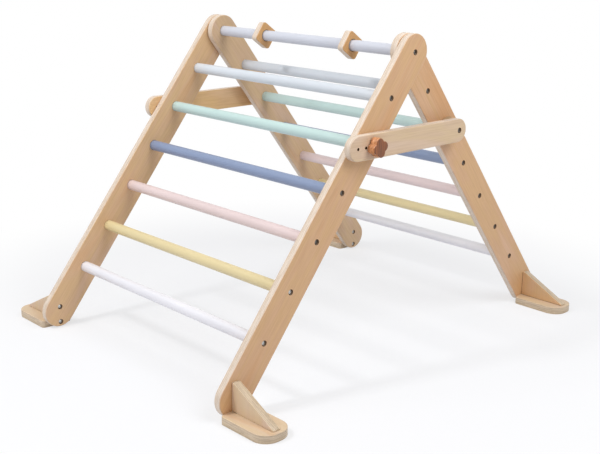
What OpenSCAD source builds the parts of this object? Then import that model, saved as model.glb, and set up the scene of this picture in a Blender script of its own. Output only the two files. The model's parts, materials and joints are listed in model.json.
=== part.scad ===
// Folding climbing triangle: two rung ladders hinged on a shared top rung.
// The row frame has X along the rungs, the front ladder towards -Y and the floor at z = 0.
// The origin lies on the floor, midway between the four feet.

/* [Ladders] */
// Width over the outer faces of the front rails
frame_w = 674; // [600:1:760]
// Length of a rail from round end to round end
rail_len = 891; // [870:1:960]
// Width of a rail
rail_w = 79; // [68:1:82]
// Thickness of the plywood
ply_t = 18; // [15:1:21]
// Angle between the ladders when the triangle stands open
open_angle = 76; // [66:1:80]
// Height of the rail ends above the floor
rail_lift = 1.5; // [1:0.5:6]
// Rounding of the long edges of the rails and braces
edge_r = 2.5; // [1:0.5:4]

/* [Rungs] */
// Rungs on each ladder below the top rung
rung_count = 6; // [4:1:6]
// Distance between rungs along a ladder, from the top rung down
rung_pitch = 115; // [105:1:120]
// Diameter of every rung
rung_d = 25; // [22:1:30]
// Depth of the sockets that hold the rung ends
socket_depth = 10; // [7:1:11]
// Chamfer round the end of a rung
rung_chamfer = 1; // [0.5:0.1:2]

/* [Top rung] */
// Clear distance between the two ramp stops
stop_gap = 274; // [220:2:320]
// Side of a ramp stop's square
stop_size = 50; // [46:1:60]
// Radius of a ramp stop's corners
stop_corner_r = 8; // [4:1:12]
// Angle that a ramp stop's corner stands above the level
stop_turn = 10; // [0:1:20]
// Chamfer round a ramp stop's hole
stop_chamfer = 1.5; // [0.5:0.5:3]
// Rounding of the edges of the ramp stops, feet and spacers
small_edge_r = 1.5; // [0.5:0.5:3]

/* [Fold hinge] */
// Thickness of the washers between the front and rear rails
hinge_washer_t = 1; // [0.8:0.1:2]
// Outer diameter of the hinge washers
hinge_washer_d = 42; // [36:1:50]

/* [Braces] */
// Rung, counted down from the top one, that the braces join
brace_rung = 2; // [2:1:3]
// Width of a brace
brace_w = 53; // [44:1:60]
// Distance from a brace's end hole to its round end
brace_end = 24; // [20:0.5:28]
// Number of holes in the row at a brace's front end
brace_holes = 3; // [2:1:4]
// Distance between those holes
brace_hole_pitch = 23; // [18:1:30]
// Diameter of those holes
brace_hole_d = 6.6; // [6.4:0.1:7.5]
// Diameter of the round spacers behind the brace pivots
spacer_d = 54; // [40:1:60]

/* [Knobs] */
// Number of lobes round a knob
knob_lobes = 4; // [4:1:6]
// Radius of a knob over its lobes
knob_r = 21; // [19:0.5:24]
// Radius of one lobe
knob_lobe_r = 10.5; // [8:0.5:11]
// Radius of the hollow between two lobes
knob_hollow_r = 3; // [2:0.5:6]
// Thickness of a knob
knob_t = 20; // [16:0.5:26]
// Angle that the first lobe stands at
knob_turn = 13; // [0:1:45]
// Diameter of a knob's threaded stud
stud_d = 6; // [5:0.5:6]
// Depth that the stud is set in the knob
stud_depth = 14; // [10:1:15]
// Diameter of the washer under a knob
knob_washer_d = 18; // [14:1:24]
// Thickness of the washer under a knob
knob_washer_t = 1.2; // [0.8:0.1:2]
// Outer diameter of the threaded insert in the rung end
insert_d = 9; // [8.5:0.5:12]
// Length of the threaded insert
insert_len = 15; // [10:1:20]

/* [Feet] */
// Width of a foot plate
foot_w = 78; // [72:1:90]
// Reach of a foot plate from the rail's outer face
foot_len = 130; // [120:1:160]
// Radius of a foot plate's outer corners
foot_corner_r = 34; // [20:1:35]
// Radius of a foot plate's corners beside the rail
heel_corner_r = 8; // [4:1:12]
// Height of a gusset above its foot plate
gusset_h = 61; // [55:1:80]
// Reach of a gusset along its foot plate
gusset_len = 121; // [100:1:125]
// Flat at the top of a gusset
gusset_flat = 6; // [3:1:15]
// Height of a gusset's blunt toe
gusset_toe = 2.5; // [1:0.5:5]

/* [Screws] */
// Diameter of a screw head
head_d = 12; // [10:0.5:13]
// Cylindrical rim round a countersunk head
head_rim = 0.6; // [0.3:0.1:1]
// Depth that a head lies below the wood
head_sink = 0.3; // [0.1:0.1:1]
// Width across the flats of the hexagon socket in a head
socket_af = 4; // [3:0.5:5]
// Depth of the hexagon socket
hex_depth = 2.4; // [1.5:0.1:3]
// Shank diameter of the rung and foot screws
screw_d = 5; // [4:0.5:6]
// Length of a rung screw
rung_screw_len = 50; // [40:1:70]
// Length of a foot screw, through the rail and into the foot
foot_screw_len = 50; // [40:1:54]
// Height of the lower foot screw above the floor
foot_screw_low = 13; // [12.5:0.5:14]
// Height of the upper foot screw above the floor
foot_screw_high = 51; // [40:1:56]
// Length of a base screw, through the foot plate into the gusset
base_screw_len = 30; // [26:1:32]
// Distance from the rail to the base screw next to it
base_screw_x = 45; // [42:1:48]
// Distance from the gusset's toe to the base screw next to it
base_screw_toe = 36; // [32:1:40]
// Shank diameter of a brace pivot screw
pivot_d = 6; // [5:0.5:7]
// Depth that a brace pivot screw reaches into its rung
pivot_grip = 34; // [25:1:50]

/* [Clearances] */
// Gap round a glued or screwed joint, on the radius
glue_gap = 0.1; // [0.05:0.05:0.2]
// Gap behind a rung's end in its socket
end_gap = 0.2; // [0.1:0.1:0.5]
// Running gap of the fold hinge, on the radius
hinge_gap = 0.08; // [0.03:0.01:0.1]
// Running gap of a brace on its pivot screw, on the radius
pivot_gap = 0.08; // [0.03:0.01:0.1]
// Gap between flat faces that slide past each other
slide_gap = 0.4; // [0.3:0.1:0.8]
// Gap between a hinge washer and the front rail
washer_gap = 0.2; // [0.1:0.05:0.4]
// Gap between a countersunk head and its seat
seat_gap = 0.15; // [0.1:0.05:0.3]

/* [Hidden] */
$fn = 96;
half_angle = open_angle / 2;
// Rail end centre, measured from the apex axis down the ladder
rail_end = rail_len - rail_w;
apex_h = rail_end * cos(half_angle) + rail_w / 2 + rail_lift;
foot_y = rail_end * sin(half_angle);
// Faces of the right-hand rails and brace, from the middle outwards
front_out = frame_w / 2;
front_in = front_out - ply_t;
rear_out = front_in - hinge_washer_t - washer_gap;
rear_in = rear_out - ply_t;
brace_in = front_out + slide_gap;
brace_out = brace_in + ply_t;
knob_seat = brace_out + washer_gap;
knob_back = knob_seat + knob_washer_t;
// Length of the rungs of each ladder, between the socket bottoms
front_rung_len = 2 * (front_in + socket_depth - end_gap);
rear_rung_len = 2 * (rear_in + socket_depth - end_gap);
// Place of the brace's pivot and knob holes
brace_reach = brace_rung * rung_pitch;
brace_half = brace_reach * sin(half_angle);
brace_z = apex_h - brace_reach * cos(half_angle);
brace_len = 2 * brace_half + (brace_holes - 1) * brace_hole_pitch + 2 * brace_end;
pivot_len = brace_out - rear_in - socket_depth + pivot_grip;
spacer_t = front_out - rear_out;
// Places of a foot's two base screws, from the rail's outer face
BASE_SCREWS = [base_screw_x, gusset_len - base_screw_toe];
// Height of the cone under a countersunk head
function cone_h(shank_d) = (head_d - shank_d) / 2;
// Length that lets each cut run past the face it opens
cut = 1;
point_share = 1.2;

RUNGS = [for (k = [1:rung_count]) k];

birch = "#D7B48F";
birch_edge = "#E8CFAF";
walnut = "#8A5636";
steel = "#B9BCC0";
nylon = "#EDEBE4";
top_blue = "#DADCE8";
// Lacquer of the rungs, from the top pair down to the bottom pair
RUNG_COLOURS = ["#DCE4F0", "#CFE8E4", "#9AADD3", "#EEDBDB", "#EBDFA8", "#ECECF2"];
right = 1;
left = -1;
front = -1;
rear = 1;

// ---- Placing ----

// Copies the right-hand shape to one side
module on_side(side) {
    if (side == right) children();
    else mirror([1, 0, 0]) children();
}

// Hangs a ladder drawn straight down from the apex axis at its open angle
module on_ladder(ladder) {
    translate([0, 0, apex_h]) rotate([ladder * half_angle, 0, 0]) children();
}

// Extrudes an outline drawn in Y and Z along X, from x_from for a thickness
module slab(x_from, thickness) {
    translate([x_from, 0, 0]) rotate([90, 0, 90]) linear_extrude(thickness) children();
}

// Extrudes an outline drawn in X and Z along Y, half to each side
module bar_along_y(length) {
    translate([0, length / 2, 0]) rotate([90, 0, 0]) linear_extrude(length) children();
}

// Cylinder along X
module rod(x_from, x_to, d) {
    translate([x_from, 0, 0]) rotate([0, 90, 0]) cylinder(h = x_to - x_from, d = d);
}

// Moves children down a ladder to rung k
module at_rung(k) {
    translate([0, 0, -k * rung_pitch]) children();
}

// ---- Boards with rounded edges ----

// Centred rectangle with rounded corners
module soft_square(w, h, r) {
    square([w, h - 2 * r], center = true);
    square([w - 2 * r, h], center = true);
    for (x = [-1, 1], y = [-1, 1])
        translate([x * (w / 2 - r), y * (h / 2 - r)]) circle(r = r);
}

// Disc round Z with rounded rims, centred
module soft_disc(d, t, r) {
    rotate_extrude() {
        translate([0, -t / 2]) square([d / 2 - r, t]);
        translate([0, r - t / 2]) square([d / 2, t - 2 * r]);
        for (z = [-1, 1]) translate([d / 2 - r, z * (t / 2 - r)]) circle(r = r);
    }
}

// Plywood bar with round ends and rounded edges, straight down from the centre of its upper
// end over a span, with its inner face at x_from
module soft_bar(x_from, span, w) {
    translate([x_from + ply_t / 2, 0, 0]) {
        translate([0, 0, -span]) linear_extrude(span) soft_square(ply_t, w, edge_r);
        for (z = [0, -span]) translate([0, 0, z]) rotate([0, 90, 0]) soft_disc(w, ply_t, edge_r);
    }
}

// ---- Screws ----

// Countersunk screw along -Z, with its head's top face at z = 0 and a hexagon socket
module screw(length, shank_d) {
    neck = head_rim + cone_h(shank_d);
    difference() {
        rotate_extrude() polygon([
            [0, 0],
            [head_d / 2, 0],
            [head_d / 2, -head_rim],
            [shank_d / 2, -neck],
            [shank_d / 2, -length + shank_d * point_share],
            [0, -length]
        ]);
        translate([0, 0, -hex_depth])
            cylinder(h = hex_depth + cut, d = socket_af / cos(30), $fn = 6);
    }
}

// Hole for that screw, cut from the face at z = 0
module screw_hole(length, shank_d, gap) {
    r_head = head_d / 2 + gap;
    r_shank = shank_d / 2 + gap;
    top = head_sink + head_rim + gap;
    rotate_extrude() polygon([
        [0, cut],
        [r_head, cut],
        [r_head, -top],
        [r_shank, -top - r_head + r_shank],
        [r_shank, -length],
        [0, -length]
    ]);
}

// Turns a shape drawn along -Z so that its head faces +X at x
module facing_out(x) {
    translate([x, 0, 0]) rotate([0, 90, 0]) children();
}

// Turns a shape drawn along -Z so that its head faces -X at x
module facing_in(x) {
    translate([x, 0, 0]) rotate([0, -90, 0]) children();
}

// Moves children to the height of one of a foot's fixing screws
module at_foot_screw(ladder, height) {
    translate([0, ladder * foot_y, height]) children();
}

// ---- Ladders ----

// Right-hand rail between two faces, with its rung sockets and screw holes
module rail(ladder, inner, outer, plain_rung) {
    difference() {
        on_ladder(ladder) difference() {
            soft_bar(inner, rail_end, rail_w);
            for (k = RUNGS) at_rung(k) {
                rod(inner - cut, inner + socket_depth, rung_d + 2 * glue_gap);
                if (k != plain_rung)
                    facing_out(outer) screw_hole(ply_t, screw_d, seat_gap);
            }
        }
        for (height = [foot_screw_low, foot_screw_high])
            at_foot_screw(ladder, height)
                facing_in(inner) screw_hole(ply_t + cut, screw_d, seat_gap);
    }
}

// The front rail also holds the top rung's end and passes the knob's stud
module front_rail(side) {
    color(birch) on_side(side) difference() {
        rail(front, front_in, front_out, brace_rung);
        on_ladder(front) {
            rod(front_in - cut, front_in + socket_depth, rung_d + 2 * glue_gap);
            facing_out(front_out) screw_hole(ply_t, screw_d, seat_gap);
            at_rung(brace_rung) rod(front_in, front_out + cut, brace_hole_d);
        }
    }
}

// The rear rail turns on the top rung and carries the brace's pivot screw
module rear_rail(side) {
    color(birch) on_side(side) difference() {
        rail(rear, rear_in, rear_out, brace_rung);
        on_ladder(rear) {
            rod(rear_in - cut, rear_out + cut, rung_d + 2 * hinge_gap);
            at_rung(brace_rung) rod(rear_in, rear_out + cut, pivot_d + 2 * glue_gap);
        }
    }
}

// Dowel along X with chamfered ends, and a pilot hole in each end
module dowel(length, pilot_d, pilot_depth) {
    difference() {
        translate([-length / 2, 0, 0]) rotate([0, 90, 0]) rotate_extrude() polygon([
            [0, 0],
            [rung_d / 2 - rung_chamfer, 0],
            [rung_d / 2, rung_chamfer],
            [rung_d / 2, length - rung_chamfer],
            [rung_d / 2 - rung_chamfer, length],
            [0, length]
        ]);
        for (side = [right, left]) on_side(side)
            rod(length / 2 - pilot_depth, length / 2 + cut, pilot_d + 2 * glue_gap);
    }
}

// Depth of the pilot hole for a rung screw, past the wood that the rail has behind the socket
rung_pilot = rung_screw_len + head_sink - (ply_t - socket_depth) + cut;

module front_rung(k) {
    color(RUNG_COLOURS[k - 1]) on_ladder(front) at_rung(k) {
        if (k == brace_rung) dowel(front_rung_len, insert_d, insert_len + cut);
        else dowel(front_rung_len, screw_d, rung_pilot);
    }
}

module rear_rung(k) {
    color(RUNG_COLOURS[k - 1]) on_ladder(rear) at_rung(k) {
        if (k == brace_rung) dowel(rear_rung_len, pivot_d, pivot_grip + cut);
        else dowel(rear_rung_len, screw_d, rung_pilot);
    }
}

module top_rung() {
    color(top_blue) on_ladder(front) dowel(front_rung_len, screw_d, rung_pilot);
}

// Square plate with rounded corners on the top rung, one corner nearly level
module ramp_stop(side) {
    flat = stop_size - 2 * stop_corner_r;
    color(birch_edge) on_side(side) translate([0, 0, apex_h]) difference() {
        translate([stop_gap / 2 + ply_t / 2, 0, 0]) rotate([stop_turn + 45, 0, 0]) {
            for (turn = [0, 90]) rotate([turn, 0, 0]) translate([0, 0, -flat / 2])
                linear_extrude(flat) soft_square(ply_t, stop_size, small_edge_r);
            for (y = [-flat / 2, flat / 2], z = [-flat / 2, flat / 2]) translate([0, y, z])
                rotate([0, 90, 0]) soft_disc(2 * stop_corner_r, ply_t, small_edge_r);
        }
        translate([stop_gap / 2 + ply_t / 2, 0, 0]) rotate([0, 90, 0]) stop_bore();
    }
}

// Hole through a ramp stop along Z, centred, with a chamfer at both faces
module stop_bore() {
    r = rung_d / 2 + glue_gap;
    rotate_extrude() polygon([
        [0, -ply_t / 2 - cut],
        [r + stop_chamfer + cut, -ply_t / 2 - cut],
        [r, -ply_t / 2 + stop_chamfer],
        [r, ply_t / 2 - stop_chamfer],
        [r + stop_chamfer + cut, ply_t / 2 + cut],
        [0, ply_t / 2 + cut]
    ]);
}

module rung_screws(ladder, side, outer) {
    color(steel) on_side(side) on_ladder(ladder)
        for (k = RUNGS) if (k != brace_rung)
            at_rung(k) facing_out(outer - head_sink) screw(rung_screw_len, screw_d);
}

module apex_screws() {
    color(steel) for (side = [right, left]) on_side(side) on_ladder(front)
        facing_out(front_out - head_sink) screw(rung_screw_len, screw_d);
}

// Washer round the top rung, between the front and rear rails
module hinge_washer(side) {
    color(nylon) on_side(side) on_ladder(rear) difference() {
        rod(rear_out, rear_out + hinge_washer_t, hinge_washer_d);
        rod(rear_out - cut, front_in, rung_d + 2 * seat_gap);
    }
}

// ---- Feet ----

// Flat plate that stands on the floor, outside the rail's outer face
module foot_plate(ladder, side, outer) {
    nose = foot_len - foot_corner_r;
    shoulder = foot_w / 2 - foot_corner_r;
    heel = foot_w / 2 - heel_corner_r;
    color(birch_edge) on_side(side) difference() {
        translate([outer, ladder * foot_y, ply_t / 2]) {
            slab(heel_corner_r, nose - heel_corner_r) soft_square(foot_w, ply_t, small_edge_r);
            for (y = [-heel, heel]) translate([heel_corner_r, y, 0])
                soft_disc(2 * heel_corner_r, ply_t, small_edge_r);
            slab(0, heel_corner_r) square([2 * heel, ply_t], center = true);
            translate([nose, 0, 0])
                bar_along_y(2 * shoulder) soft_square(2 * foot_corner_r, ply_t, small_edge_r);
            for (y = [-shoulder, shoulder])
                translate([nose, y, 0]) soft_disc(2 * foot_corner_r, ply_t, small_edge_r);
        }
        at_foot_screw(ladder, foot_screw_low)
            rod(outer - cut, outer + foot_pilot, screw_d + 2 * glue_gap);
        for (x = BASE_SCREWS) at_base_screw(ladder, outer + x) rotate([180, 0, 0])
            screw_hole(ply_t + cut, screw_d, seat_gap);
    }
}

// Depth that a foot screw's pilot hole runs into the plate or gusset
foot_pilot = foot_screw_len + head_sink - ply_t + cut;

// Moves children to a base screw's place on the floor
module at_base_screw(ladder, x) {
    translate([x, ladder * foot_y, 0]) children();
}

// Upright brace of a foot: a wedge square to the rail
module foot_gusset(ladder, side, outer) {
    color(birch) on_side(side) difference() {
        translate([outer, ladder * foot_y, ply_t])
            bar_along_y(ply_t) polygon([
                [0, 0],
                [gusset_len, 0],
                [gusset_len, gusset_toe],
                [gusset_flat, gusset_h],
                [0, gusset_h]
            ]);
        at_foot_screw(ladder, foot_screw_high)
            rod(outer - cut, outer + foot_pilot, screw_d + 2 * glue_gap);
        for (x = BASE_SCREWS) at_base_screw(ladder, outer + x)
            cylinder(h = base_screw_len + head_sink + cut, d = screw_d + 2 * glue_gap);
    }
}

module foot_screws(ladder, side, inner) {
    color(steel) on_side(side)
        for (height = [foot_screw_low, foot_screw_high]) at_foot_screw(ladder, height)
            facing_in(inner + head_sink) screw(foot_screw_len, screw_d);
}

module foot_base_screws(ladder, outer) {
    color(steel) for (side = [right, left], x = BASE_SCREWS) on_side(side)
        at_base_screw(ladder, outer + x) translate([0, 0, head_sink]) rotate([180, 0, 0])
            screw(base_screw_len, screw_d);
}

// ---- Braces ----

// Moves children to the pivot on the rear rail
module at_pivot() {
    translate([0, brace_half, brace_z]) children();
}

// Moves children to hole k of the row at the brace's front end
module at_brace_hole(k) {
    translate([0, -brace_half - k * brace_hole_pitch, brace_z]) children();
}

// Level bar outside the rails, from the rear pivot to past the front rung
module brace(side) {
    centre = brace_half + brace_end - brace_w / 2;
    span = brace_len - brace_w;
    color(birch) on_side(side) difference() {
        translate([0, centre, brace_z]) rotate([-90, 0, 0]) soft_bar(brace_in, span, brace_w);
        at_pivot() facing_out(brace_out) screw_hole(ply_t + cut, pivot_d, pivot_gap);
        for (k = [0:brace_holes - 1]) at_brace_hole(k)
            rod(brace_in - cut, brace_out + cut, brace_hole_d);
    }
}

// Round spacer that carries the brace past the front rail's plane
module brace_spacer(side) {
    color(birch_edge) on_side(side) at_pivot() difference() {
        translate([rear_out + spacer_t / 2, 0, 0]) rotate([0, 90, 0])
            soft_disc(spacer_d, spacer_t, small_edge_r);
        rod(rear_out - cut, front_out + cut, pivot_d + 2 * glue_gap);
    }
}

module brace_pivot_screw(side) {
    color(steel) on_side(side) at_pivot()
        facing_out(brace_out - head_sink) screw(pivot_len - head_sink, pivot_d);
}

// ---- Knobs ----

// Outline of a knob: round lobes with a round hollow between each two
module knob_outline() {
    lobe_at = knob_r - knob_lobe_r;
    half_step = 180 / knob_lobes;
    lobe_x = lobe_at * cos(half_step);
    lobe_y = lobe_at * sin(half_step);
    // A hollow touches the lobes on both sides of it
    hollow_at = lobe_x + sqrt(pow(knob_lobe_r + knob_hollow_r, 2) - pow(lobe_y, 2));
    difference() {
        for (k = [0:knob_lobes - 1]) rotate(2 * k * half_step) {
            translate([lobe_at, 0]) circle(r = knob_lobe_r);
            rotate(half_step)
                polygon([[0, 0], [lobe_x, -lobe_y], [hollow_at, 0], [lobe_x, lobe_y]]);
        }
        for (k = [0:knob_lobes - 1])
            rotate((2 * k + 1) * half_step) translate([hollow_at, 0]) circle(r = knob_hollow_r);
    }
}

module knob(side) {
    color(walnut) on_side(side) at_brace_hole(0) difference() {
        slab(knob_back, knob_t) rotate(knob_turn) knob_outline();
        rod(knob_back - cut, knob_back + stud_depth + cut, stud_d + 2 * glue_gap);
    }
}

// Threaded stud of a knob, which ends level with the brace's inner face
module knob_stud(side) {
    color(steel) on_side(side) at_brace_hole(0) rod(brace_in, knob_back + stud_depth, stud_d);
}

module knob_washer(side) {
    color(steel) on_side(side) at_brace_hole(0) difference() {
        rod(knob_seat, knob_back, knob_washer_d);
        rod(knob_seat - cut, knob_back + cut, stud_d + 2 * glue_gap);
    }
}

// Threaded insert for the knob's stud, level with the rung's end
module knob_insert(side) {
    color(steel) on_side(side) at_brace_hole(0) difference() {
        rod(front_rung_len / 2 - insert_len, front_rung_len / 2, insert_d);
        rod(front_rung_len / 2 - insert_len - cut, front_rung_len / 2 + cut, stud_d + 2 * glue_gap);
    }
}

// ---- Front ladder ----
front_rail(right);  // front_rail_right
front_rail(left);  // front_rail_left
top_rung();
ramp_stop(right);  // ramp_stop_right
ramp_stop(left);  // ramp_stop_left
for (k = RUNGS) front_rung(k);
foot_plate(front, right, front_out);  // front_foot_plate_right
foot_plate(front, left, front_out);  // front_foot_plate_left
foot_gusset(front, right, front_out);  // front_foot_gusset_right
foot_gusset(front, left, front_out);  // front_foot_gusset_left
rung_screws(front, right, front_out);  // front_rung_screws_right
rung_screws(front, left, front_out);  // front_rung_screws_left
apex_screws();
foot_screws(front, right, front_in);  // front_foot_screws_right
foot_screws(front, left, front_in);  // front_foot_screws_left
foot_base_screws(front, front_out);  // front_foot_base_screws
knob_insert(right);  // knob_insert_right
knob_insert(left);  // knob_insert_left

// ---- Rear ladder ----
rear_rail(right);  // rear_rail_right
rear_rail(left);  // rear_rail_left
for (k = RUNGS) rear_rung(k);
foot_plate(rear, right, rear_out);  // rear_foot_plate_right
foot_plate(rear, left, rear_out);  // rear_foot_plate_left
foot_gusset(rear, right, rear_out);  // rear_foot_gusset_right
foot_gusset(rear, left, rear_out);  // rear_foot_gusset_left
rung_screws(rear, right, rear_out);  // rear_rung_screws_right
rung_screws(rear, left, rear_out);  // rear_rung_screws_left
foot_screws(rear, right, rear_in);  // rear_foot_screws_right
foot_screws(rear, left, rear_in);  // rear_foot_screws_left
foot_base_screws(rear, rear_out);  // rear_foot_base_screws
hinge_washer(right);  // hinge_washer_right
hinge_washer(left);  // hinge_washer_left
brace_spacer(right);  // brace_spacer_right
brace_spacer(left);  // brace_spacer_left
brace_pivot_screw(right);  // brace_pivot_screw_right
brace_pivot_screw(left);  // brace_pivot_screw_left

// ---- Braces and knobs ----
brace(right);  // brace_right
brace(left);  // brace_left
knob(right);  // knob_right
knob(left);  // knob_left
knob_stud(right);  // knob_stud_right
knob_stud(left);  // knob_stud_left
knob_washer(right);  // knob_washer_right
knob_washer(left);  // knob_washer_left
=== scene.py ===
"""Folding climbing triangle: plywood rails, feet and braces, lacquered rungs and dark hand knobs.

Each piece is modelled in place round the CAD frame, in metres, and moves with the frame's bodies.
"""
import bmesh
import bpy
import json
import math
from mathutils import Matrix, Vector

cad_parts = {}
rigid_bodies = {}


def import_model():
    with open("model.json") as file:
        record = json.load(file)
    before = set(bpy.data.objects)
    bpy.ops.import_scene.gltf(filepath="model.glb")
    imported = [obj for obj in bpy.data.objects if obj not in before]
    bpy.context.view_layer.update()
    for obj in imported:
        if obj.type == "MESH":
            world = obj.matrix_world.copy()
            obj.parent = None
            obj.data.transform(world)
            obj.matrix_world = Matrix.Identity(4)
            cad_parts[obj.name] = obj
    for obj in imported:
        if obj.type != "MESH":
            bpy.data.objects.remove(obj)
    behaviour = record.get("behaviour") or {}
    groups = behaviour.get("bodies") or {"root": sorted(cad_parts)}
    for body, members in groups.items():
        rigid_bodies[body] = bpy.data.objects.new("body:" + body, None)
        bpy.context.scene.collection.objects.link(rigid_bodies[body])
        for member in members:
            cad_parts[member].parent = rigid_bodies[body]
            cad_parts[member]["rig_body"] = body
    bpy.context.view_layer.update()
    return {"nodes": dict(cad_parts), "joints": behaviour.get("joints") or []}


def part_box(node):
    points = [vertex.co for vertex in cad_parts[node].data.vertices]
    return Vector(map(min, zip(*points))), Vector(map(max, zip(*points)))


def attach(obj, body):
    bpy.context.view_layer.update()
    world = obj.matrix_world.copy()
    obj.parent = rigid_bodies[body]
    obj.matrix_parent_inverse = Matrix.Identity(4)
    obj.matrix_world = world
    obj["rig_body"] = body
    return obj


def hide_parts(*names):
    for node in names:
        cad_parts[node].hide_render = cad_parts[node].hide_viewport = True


bl_info = {
    "name": "Folding Climbing Triangle",
    "version": (1, 0, 0),
    "blender": (4, 5, 0),
    "location": "3D View > Sidebar > Climbing Triangle",
    "description": "Models the plywood, rungs, knobs and screws of a folding climbing triangle",
    "category": "Add Mesh",
}

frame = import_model()

MM = 0.001
AXES = {"X": Vector((1, 0, 0)), "Y": Vector((0, 1, 0)), "Z": Vector((0, 0, 1))}
RIGHT, LEFT = "right", "left"
LADDERS = ("front", "rear")
RUNG_COLOURS = ("ice_blue", "mint", "periwinkle", "pink", "yellow", "white")
# Vertices that are nearer to each other than this are one
WELD = 0.002 * MM
# A vertex that is nearer to a face's level than this lies in that face
LEVEL = 0.01 * MM
# Clearance of a drilled hole, on its radius
FIT = 0.1 * MM
# How far a cutter reaches past the face that it cuts through
PAST = 1 * MM
# Faces that meet at less than this angle are shaded as one round surface
SMOOTH = math.radians(35)


# ---- Sizes read from the frame ----

def middle(node):
    """The middle of a CAD node's box."""
    low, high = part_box(node)
    return (low + high) / 2


def extent(node):
    """The lengths of a CAD node's box."""
    low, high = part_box(node)
    return high - low


def joint_place(name):
    """The point that a joint turns about."""
    joint = next(j for j in frame["joints"] if j["name"] == name)
    return Vector(joint["pos_m"])


APEX = joint_place("fold")
PIVOT = joint_place("brace_swing_right")
KNOB_AXIS = joint_place("knob_turn_right")
LAST_RUNG = middle("front_rung_6") - APEX
RUNG_PITCH = LAST_RUNG.length / len(RUNG_COLOURS)
HALF_ANGLE = math.atan2(-LAST_RUNG.y, -LAST_RUNG.z)
RAIL_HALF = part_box("front_rail_right")[1].z - APEX.z
RAIL_REACH = (-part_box("front_rail_right")[0].y - RAIL_HALF) / math.sin(HALF_ANGLE)
PLY = extent("front_rail_right").x
RUNG_D = extent("front_rung_1").z
FOOT_Y = RAIL_REACH * math.sin(HALF_ANGLE)


def way(ladder):
    """The sign of a ladder's side: the front one stands towards -Y."""
    return -1 if ladder == "front" else 1


def down(ladder, distance):
    """The point of the ladder's middle line at a distance below the apex, at X = 0."""
    return Vector((0, way(ladder) * distance * math.sin(HALF_ANGLE),
                   APEX.z - distance * math.cos(HALF_ANGLE)))


def across(ladder, distance):
    """A step square to the ladder's middle line, towards the outside of the triangle."""
    return Vector((0, way(ladder) * distance * math.cos(HALF_ANGLE),
                   distance * math.sin(HALF_ANGLE)))


def rung_spots(ladder):
    """The middles of a ladder's six rungs, from the top down, at X = 0."""
    return [down(ladder, k * RUNG_PITCH) for k in range(1, len(RUNG_COLOURS) + 1)]


def foot_screw_spots(ladder, sizes):
    """The two points where a rail is screwed to its foot, at X = 0."""
    return [Vector((0, way(ladder) * FOOT_Y, z)) for z in (sizes.screw_low, sizes.screw_high)]


# ---- Modelling ----

class Pen:
    """Draws an outline from one vertex, extruded in lines and spun in arcs, in edit mode."""

    def __init__(self, name, start):
        bpy.ops.object.select_all(action="DESELECT")
        bpy.ops.mesh.primitive_plane_add(size=MM)
        self.piece = bpy.context.object
        self.piece.name = self.piece.data.name = name
        bpy.ops.object.mode_set(mode="EDIT")
        bpy.ops.mesh.select_mode(type="VERT")
        bpy.ops.mesh.select_all(action="SELECT")
        bpy.ops.mesh.merge(type="CENTER")
        self.place = Vector(start)
        bpy.ops.transform.translate(value=self.place)

    def line_to(self, point):
        """Extrudes the pen's vertex straight to a point."""
        step = Vector(point) - self.place
        bpy.ops.mesh.extrude_vertices_move(TRANSFORM_OT_translate={"value": step})
        self.place = Vector(point)

    def arc(self, centre, degrees, axis="X", steps=16):
        """Spins the pen's vertex round an axis, by the right-hand rule."""
        turn = math.radians(degrees)
        centre = Vector(centre)
        bpy.ops.mesh.spin(steps=steps, angle=-turn, center=centre, axis=AXES[axis])
        self.place = centre + Matrix.Rotation(turn, 3, axis) @ (self.place - centre)

    def board(self, thickness):
        """Closes the outline into a face and extrudes it by a thickness."""
        weld()
        bpy.ops.mesh.edge_face_add()
        bpy.ops.mesh.extrude_region_move(TRANSFORM_OT_translate={"value": thickness})
        outwards()
        return self.piece

    def lathe(self, centre, steps=48):
        """Spins the whole profile once round X through a centre, into a closed shape."""
        bpy.ops.mesh.select_all(action="SELECT")
        bpy.ops.mesh.spin(steps=steps, angle=math.tau, center=centre, axis=AXES["X"])
        weld()
        outwards()
        close()
        return self.piece


def weld():
    """Merges doubled vertices of the open mesh and leaves it all selected."""
    bpy.ops.mesh.select_all(action="SELECT")
    bpy.ops.mesh.remove_doubles(threshold=WELD)
    bpy.ops.mesh.select_all(action="SELECT")


def outwards():
    """Points the open mesh's faces outwards."""
    bpy.ops.mesh.select_all(action="SELECT")
    bpy.ops.mesh.normals_make_consistent(inside=False)


def round_edges(test, radius, segments=4):
    """Rounds the edges of the open mesh whose two ends pass a test."""
    bpy.ops.mesh.select_mode(type="EDGE")
    bpy.ops.mesh.select_all(action="DESELECT")
    shell = bmesh.from_edit_mesh(bpy.context.edit_object.data)
    for edge in shell.edges:
        edge.select_set(test(edge))
    bmesh.update_edit_mesh(bpy.context.edit_object.data)
    bpy.ops.mesh.bevel(offset=radius, segments=segments, affect="EDGES")


def on_face(axis, *levels):
    """A test for edges that lie at one of some levels along an axis, as in a board's faces."""
    index = "XYZ".index(axis)

    def test(edge):
        return any(all(abs(vert.co[index] - level) < LEVEL for vert in edge.verts)
                   for level in levels)
    return test


def close():
    """Leaves edit mode."""
    bpy.ops.object.mode_set(mode="OBJECT")


def choose(piece):
    """Selects one object alone and makes it the active one."""
    bpy.ops.object.select_all(action="DESELECT")
    piece.select_set(True)
    bpy.context.view_layer.objects.active = piece


def repeat(piece, spots):
    """Copies a piece's mesh from the first of some spots to each of the others."""
    choose(piece)
    bpy.ops.object.mode_set(mode="EDIT")
    bpy.ops.mesh.select_all(action="SELECT")
    for before, spot in zip(spots, spots[1:]):
        bpy.ops.mesh.duplicate_move(TRANSFORM_OT_translate={"value": spot - before})
    close()


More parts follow.
